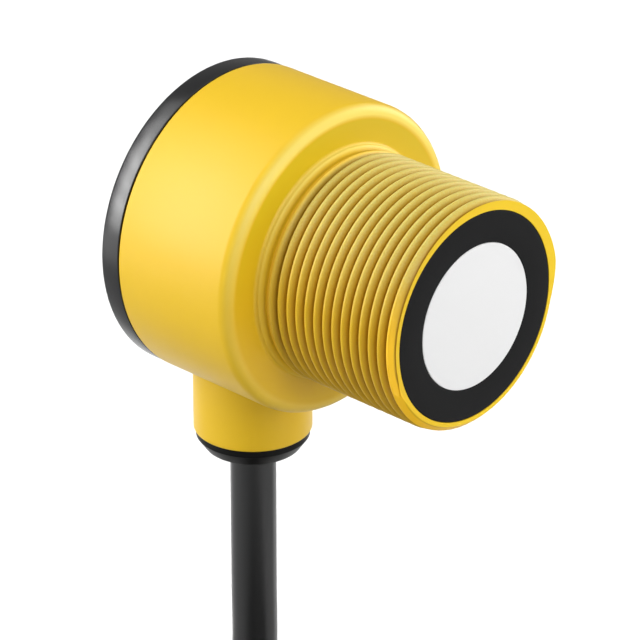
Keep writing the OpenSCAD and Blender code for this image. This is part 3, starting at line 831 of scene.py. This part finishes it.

# %% [markdown]
# ## Traces of use on thread and shoulder
# The thread gets a brown painted shade, light on its crests and deepest in its roots. Its crests get a pale
# khaki painted sheen, strongest on the upper side and broken by a speckle a quarter of a millimetre coarse
# so that the picture can still show it. The rim of the face is painted a lighter, more lemon yellow as
# painted light, fading towards the left, and the lower half of the first crest is painted as bright. The
# rounding of the shoulder, the collar and the thread's last crest get a pale painted highlight, the first
# two most of all on top, and the groove between collar and thread gets a painted shade. On top, the flat
# ring of the shoulder is painted a darker, greener tone as painted shade. Such marks could be painted by
# hand. But the distance from the barrel's axis tells crest from root, so a mark that is bounded by that
# distance, and by places along the axes, follows the shape exactly.

# %% Where the painted light and shade are
# A band is what it is measured along, where it starts and where it is full, in mm, and its least and most
# strength where these aren't 0 and 1. A mark of painted light or shade is a colour and its bands. Later
# marks lie over earlier ones.
round_from = body_r - shoulder_round
on_thread = [("y", 0, 0.1), ("y", thread_l - 0.3, thread_l - 0.8)]
# This band makes a painted highlight stronger on top.
highlight_stronger_on_top = ("z", 0, 15, 0.25, 1)
painted_light_and_shade = {
    # painted shade: brown over the whole thread, light on the crests and deepest in the roots
    "painted shade on the thread": ("#84520F", [("radius", thread_r - 0.2, thread_r - 0.9, 0.2, 0.75)] + on_thread),
    # painted sheen: pale khaki on the crests, stronger on top, broken by a speckled grain
    "painted sheen on the crests": ("#D3CB74", [
        ("radius", thread_r - 0.7, thread_r - 0.05, 0, 0.85), ("z", 1.5, 13),
        ("speckle", 0.35, 0.65, 0.6, 1),
    ] + on_thread),
    # painted light: the lower half of the first crest made as bright as the rim
    "painted light on the first crest": ("#FFC81E", [
        ("radius", lead_in_r - 0.05, lead_in_r + 0.2),
        ("y", first_crest + 0.2, first_crest - 0.2), ("z", 9, 1),
    ]),
    # painted light: the rim of the face lighter and more lemon, fading towards the left
    "painted light on the rim": ("#F4CC1C", [
        ("radius", ring_r - 0.5, ring_r - 0.4), ("y", 0.1, 0.02), ("x", -12, 4, 0.3, 1),
    ]),
    # painted shade: the flat ring of the shoulder darker and greener towards the top
    "painted shade on the flat ring": ("#D9BA16", [
        ("radius", collar_r, collar_r + 0.3), ("radius", round_from - 0.15, round_from - 0.55),
        ("y", shoulder_y - 0.1, shoulder_y - 0.02), ("z", 0, 12),
    ]),
    # painted highlight on the rounding of the shoulder, stronger on top
    "painted highlight on the rounding": ("#FAE16A", [
        ("radius", round_from - 0.35, round_from + 0.2, 0, 0.95),
        ("radius", body_r - 0.05, body_r - 0.55), highlight_stronger_on_top,
    ]),
    # painted highlight on the collar's rounded edge, stronger on top
    "painted highlight on the collar": ("#FAE16A", [
        ("radius", collar_r - 0.7, collar_r - 0.5, 0, 0.9), ("y", collar_y - 0.45, collar_y - 0.15),
        ("y", shoulder_y - 0.05, shoulder_y - 0.2), highlight_stronger_on_top,
    ]),
    # painted highlight on the thread's last crest
    "painted highlight on the last crest": ("#FFD54A", [
        ("radius", thread_r - 0.5, thread_r - 0.2, 0, 0.9), ("y", thread_l - 1.1, thread_l - 0.7),
        ("y", thread_l, thread_l - 0.2),
    ]),
    # painted shade in the groove between thread and collar
    "painted shade in the groove": ("#84520F", [
        ("radius", relief_r - 0.22, relief_r - 0.12, 0, 0.25), ("y", thread_l - 0.1, thread_l + 0.1),
        ("y", relief_y + 0.15, relief_y - 0.05),
    ]),
}
print("traces:", list(painted_light_and_shade))

# %% Painted light and shade in the polyester
speckle_size = 0.25


def strength(tree, measures, bands):
    """How strongly a mark of painted light or shade shows: its bands, multiplied."""
    product = None
    for measure, start, end, *levels in bands:
        least, most = levels or (0, 1)
        settings = {"From Min": start, "From Max": end, "To Min": least, "To Max": most}
        band = add_node(tree, "MapRange", settings, Value=measures[measure]).outputs["Result"]
        if product is not None:
            band = add_node(tree, "Math", {"operation": "MULTIPLY"}, product, band).outputs["Value"]
        product = band
    return product


tree = polyester_yellow.node_tree
base_colour = tree.nodes["Principled BSDF"].inputs["Base Color"]
place = add_node(tree, "TexCoord").outputs["Object"]
in_mm = add_node(tree, "VectorMath", {"operation": "SCALE", "Scale": 1 / MM}, Vector=place)
x, y, z = add_node(tree, "SeparateXYZ", Vector=in_mm.outputs["Vector"]).outputs
from_axis = add_node(tree, "CombineXYZ", X=x, Y=z).outputs["Vector"]
radius = add_node(tree, "VectorMath", {"operation": "LENGTH"}, Vector=from_axis).outputs["Value"]
grain = add_node(tree, "TexNoise", {"Scale": grain_scale(speckle_size), "Detail": 1.0}, Vector=place)
measures = {"x": x, "y": y, "z": z, "radius": radius, "speckle": grain.outputs["Fac"]}
# Each mark of painted light or shade is mixed in turn over the moulded colour.
below = base_colour.links[0].from_socket
for hex_value, bands in painted_light_and_shade.values():
    amount = strength(tree, measures, bands)
    mix = add_node(tree, "MixRGB", {"Color2": colour(hex_value)}, Fac=amount, Color1=below)
    below = mix.outputs["Color"]
tree.links.new(below, base_colour)
print("nodes in the polyester:", len(tree.nodes))

# %% [markdown]
# ## The sensing face
#
# The dark ring is the rim of a soft cup that holds the transducer and keeps its ringing out of the case. The
# white disc in it is the matching layer, which passes the sound on to the air. Both are nearly flush, so all
# that tells them apart is colour and the hairline where they meet.

# %% Ring and disc of the face
disc_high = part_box("matching_layer")[1]
disc_r = disc_high.x / MM
disc_t = disc_high.y / MM
cup_r = bore_r - fit
cup = turned("face_ring_cup", rounded([
    (disc_r + fit, 0, 0.1), (ring_r, 0, 0.15), (ring_r, ring_t, 0.05), (cup_r, ring_t, 0.05),
    (cup_r, cup_l, 0.1), (disc_r + fit, cup_l, 0.1),
]), along_barrel, steps=160)
dress(cup, elastomer_dark)
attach(cup, "root")
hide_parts("transducer_cup")
disc = turned("face_disc", rounded([
    (0, 0, 0), (disc_r, 0, 0.08), (disc_r, disc_t, 0.08), (0, disc_t, 0),
]), along_barrel, steps=160)
dress(disc, epoxy_white)
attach(disc, "root")
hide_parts("matching_layer")
print("ring", round(2 * ring_r, 2), "mm across, disc", round(2 * disc_r, 2), "mm")

# %% [markdown]
# ## The cable gland
#
# A black collar sits under the boss: a short straight rim, then a nose that narrows towards the cable.
# Inside it steps out for the ferrule and the seal. It could be dressed as a solid, but the light on its soft
# edges is all that the eye has of such a black piece, so its outline is swept again with rounded edges.

# %% Gland
ferrule_low, ferrule_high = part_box("cable_ferrule")
seal_low, seal_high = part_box("gland_seal")
cable_hole = cable_d / 2 / MM + fit
ferrule_hole = ferrule_high.x / MM + fit
ferrule_bottom = ferrule_low.z / MM
seal_bottom = seal_low.z / MM
plug_r = (seal_high.x - seal_low.x) / 2 / MM
gland_rim = 0.9
nose_in = 1.2
gland = turned("gland_collar", rounded([
    (cable_hole, gland_bottom, 0.2), (cable_hole, ferrule_bottom, 0), (ferrule_hole, ferrule_bottom, 0),
    (ferrule_hole, seal_bottom, 0), (plug_r, seal_bottom, 0), (plug_r, boss_bottom, 0),
    (gland_r, boss_bottom, 0.12), (gland_r, boss_bottom - gland_rim, 0.12),
    (gland_r - nose_in, gland_bottom, 0.35),
]), on_boss)
dress(gland, nylon_black)
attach(gland, "root")
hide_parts("cable_gland")
print("gland from", round(gland_bottom, 2), "to", round(seal_bottom, 2), "mm")

# %% [markdown]
# ## The rear cover
#
# The cover is a shallow black cap of ABS that snaps into the body. Round its spigot runs a groove for the
# gasket, and a raised pad holds the keys and the light pipes. The solid could be dressed as it is, but its
# edges would be sharp. So the outline is swept once more with rounded edges, with the groove in it.

# %% Cover
cover_low, cover_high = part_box("rear_cover")
gasket_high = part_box("cover_gasket")[1]
cover_r = cover_high.x / MM
pad_y = cover_high.y / MM
pad_rise = 0.6
pad_foot_r = 16
pad_r = 15.7
rim_y = pad_y - pad_rise
plate_t = 1.8
plate_y = rim_y - plate_t
shadow_gap = 0.25
cover_y = seam + shadow_gap
spigot_l = 3
spigot_y = cover_y - spigot_l
spigot_r = cavity_r - fit
spigot_in_r = 16.9
groove_w = 0.9
groove_out = gasket_high.x / MM + fit
groove_in = groove_out - groove_w
groove_y = gasket_high.y / MM
cover = turned("rear_cover_moulding", rounded([
    (0, plate_y, 0), (spigot_in_r, plate_y, 0.3), (spigot_in_r, spigot_y, 0.1), (spigot_r, spigot_y, 0.2),
    (spigot_r, cover_y, 0), (groove_in, cover_y, 0), (groove_in, groove_y, 0), (groove_out, groove_y, 0),
    (groove_out, cover_y, 0), (cover_r, cover_y, 0.12), (cover_r, rim_y, 0.45), (pad_foot_r, rim_y, 0.1),
    (pad_r, pad_y, 0.25), (0, pad_y, 0),
]), along_barrel, steps=160)
print("cover from", round(spigot_y, 2), "to", round(pad_y, 2), "mm")

# %% [markdown]
# Inside, three posts take the screws of the display board, and the spigot is open below, where the wires
# rise. Outside, the plate has round holes for two keys and four light pipes. Posts are joined on before
# anything is cut, because their screw holes go in afterwards.

# %% Places on the cover
post_circle = 15.1
post_angles = (90, 210, 330)
key_places = {"left": (-5.5, -4.0), "right": (5.5, -4.0)}
pipe_count = 4
pipe_apart = 5
pipe_rise = 5.0
post_places = []
for angle in map(math.radians, post_angles):
    post_places.append((post_circle * math.cos(angle), post_circle * math.sin(angle)))
pipe_places = [((k - (pipe_count - 1) / 2) * pipe_apart, pipe_rise) for k in range(pipe_count)]
print("posts:", [(round(x, 1), round(z, 1)) for x, z in post_places], "pipes:", pipe_places)

# %% Posts and holes of the cover
post_tip = cover_low.y / MM
post_r = 1.6
screw_hole_r = 1.0
screw_hole_l = 4.2
post_sunk = 0.02
key_r = 2.75
key_play = 0.1
pipe_hole_r = 1.25
cut_past = 1
notch_x = (-wire_way_r - 1, wire_way_r + 1)
notch_y = (25.7, plate_y)
notch_z = (-1.5 * cavity_r, -0.5 * cavity_r)


def across(x, z):
    """The barrel's direction, with its origin moved to x and z in mm."""
    return Matrix.Translation((x * MM, 0, z * MM)) @ along_barrel


for x, z in post_places:
    carve(cover, plug(post_r, post_tip, plate_y + post_sunk, across(x, z), steps=32), "UNION")
for x, z in post_places:
    screw_hole = plug(screw_hole_r, post_tip - cut_past, post_tip + screw_hole_l, across(x, z), steps=24)
    carve(cover, screw_hole, "DIFFERENCE")
notch = [Vector((x, y, z)) * MM for x in notch_x for y in notch_y for z in notch_z]
notch_faces = [(0, 1, 3, 2), (4, 6, 7, 5), (0, 4, 5, 1), (2, 3, 7, 6), (0, 2, 6, 4), (1, 5, 7, 3)]
carve(cover, mesh_piece("notch", notch, notch_faces), "DIFFERENCE")
for places, hole_r in ((key_places.values(), key_r + key_play), (pipe_places, pipe_hole_r)):
    for x, z in places:
        carve(cover, plug(hole_r, plate_y - cut_past, pad_y + cut_past, across(x, z)), "DIFFERENCE")
shade(cover, angle=30)
dress(cover, abs_black)
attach(cover, "root")
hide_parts("rear_cover")
print("cover:", len(cover.data.polygons), "faces")

# %% [markdown]
# ## Keys
#
# Each key is a silicone rubber cap with a thin flange that keeps it in behind the plate. A domed top and a
# soft edge tell the finger where it is. Each one rides on its own moving body, so the rest of the cover
# stays still when it is pressed.

# %% Keys
flange_w = 0.9
flange_t = 1
flange_r = key_r + flange_w
flange_y = plate_y - flange_t
key_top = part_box("button_left")[1].y / MM
key_dome = 0.15
key_edge = 0.35
for name, (x, z) in key_places.items():
    key = turned("key_" + name, rounded([
        (0, flange_y, 0), (flange_r, flange_y, 0.1), (flange_r, plate_y, 0.1), (key_r, plate_y, 0),
        (key_r, key_top - key_dome, key_edge), (0, key_top, 0),
    ]), across(x, z), steps=64)
    dress(key, silicone_grey)
    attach(key, name + "_button")
    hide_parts("button_" + name)
print("keys from", round(flange_y, 2), "to", round(key_top, 2), "mm")

# %% [markdown]
# ## The studio
#
# The picture was made in a bright, even studio. A world of pale light alone would do, but it would flatten
# the thread. So the world is dim and soft boxes do the work: big ones near the camera, and a row of them at
# the left and above that draws the long soft light on the cover's edge and on the body. The floor is a wide
# sheet of pale paper, dull and almost without grain.

# %% World and floor
bpy.context.scene.view_settings.view_transform = "Standard"
world = bpy.data.worlds.new("studio")
bpy.context.scene.world = world
world.use_nodes = True
sky = world.node_tree.nodes["Background"].inputs
sky["Color"].default_value = colour("#FFFFFF")
sky["Strength"].default_value = 0.29
floor_half = 9
floor_corners = [(x * floor_half, y * floor_half, floor_z) for x, y in ((-1, -1), (1, -1), (1, 1), (-1, 1))]
floor_mesh = bpy.data.meshes.new("floor")
floor_mesh.from_pydata(floor_corners, [], [(0, 1, 2, 3)])
floor = add_object("floor", floor_mesh)
dress(floor, moulded("paper_rolled_pale", "#B0B0B0", 0.9, 2, 0.01, tone=0.01))
print("floor at", round(floor_z / MM, 2), "mm")

# %% Soft boxes
# A soft box has its place and its side in metres, and its power. The arc of them hangs round the barrel's
# axis, behind the sensor.
sensor_middle = (0, 0.02, 0)
arc_r = 0.863
arc_y = 0.682
arc_size = 0.3
soft_boxes = {
    "front": ((-0.02, -1.18, 0.24), 0.35, 2.2),
    "front_up": ((-0.37, -0.88, 0.62), 0.42, 3.4),
    "front_right": ((0.5, -1.1, 0.35), 0.7, 3.2),
    "right": ((1.15, -0.2, 0.3), 0.7, 6.0),
    "overhead": ((0.1, 0.0, 1.3), 1.2, 4.0),
}
for degrees, power in ((176, 2.2), (162, 2.4), (146, 2.7), (130, 2.4), (112, 1.4), (94, 0.6)):
    angle = math.radians(degrees)
    place = (arc_r * math.cos(angle), arc_y, arc_r * math.sin(angle))
    soft_boxes[f"arc_{degrees}"] = (place, arc_size, power)


def hang_lamp(name, kind, place, aim, power):
    """A lamp at place, turned to aim."""
    lamp = add_object(name, bpy.data.lights.new(name, kind))
    lamp.data.energy = power
    lamp.location = place
    lamp.rotation_euler = (Vector(aim) - Vector(place)).to_track_quat("-Z", "Y").to_euler()
    return lamp


for name, (place, size, power) in soft_boxes.items():
    box = hang_lamp(name, "AREA", place, sensor_middle, power)
    box.data.size = size
    box.visible_camera = False
print("soft boxes:", list(soft_boxes))

# %% [markdown]
# Five spots do what soft boxes can't. Three hang over the floor, where the camera sees it behind, left and
# in front of the sensor, and make the paper there as white as the picture's ground. The fourth lights the
# paper that the cable mirrors on its front. The fifth is a narrow one in front, which only reaches the
# sensing face.

# %% Spots
# A spot has its place and its aim in metres, the angle and the softness of its cone, and its power.
lamp_r = 0.02
spots = {
    "background_spot": ((0.156, 0.17, 0.9), (0.156, 0.17, 0), 22, 0.5, 60),
    "left_floor_spot": ((-0.36, 0.33, 0.9), (-0.36, 0.33, 0), 28, 0.5, 100),
    "front_floor_spot": ((0.035, -0.08, 0.6), (0.035, -0.08, 0), 11, 0.5, 16),
    "cable_floor_spot": ((-0.025, -0.075, 0.5), (-0.025, -0.075, 0), 9, 0.5, 11),
    "face_spot": ((-0.1, -1.2, 0.1), (0, 0, 0), 1.5, 0.2, 5.2),
}
for name, (place, aim, degrees, blend, power) in spots.items():
    spot = hang_lamp(name, "SPOT", place, aim, power)
    spot.data.spot_size = math.radians(degrees)
    spot.data.spot_blend = blend
    spot.data.shadow_soft_size = lamp_r
print("spots:", list(spots))
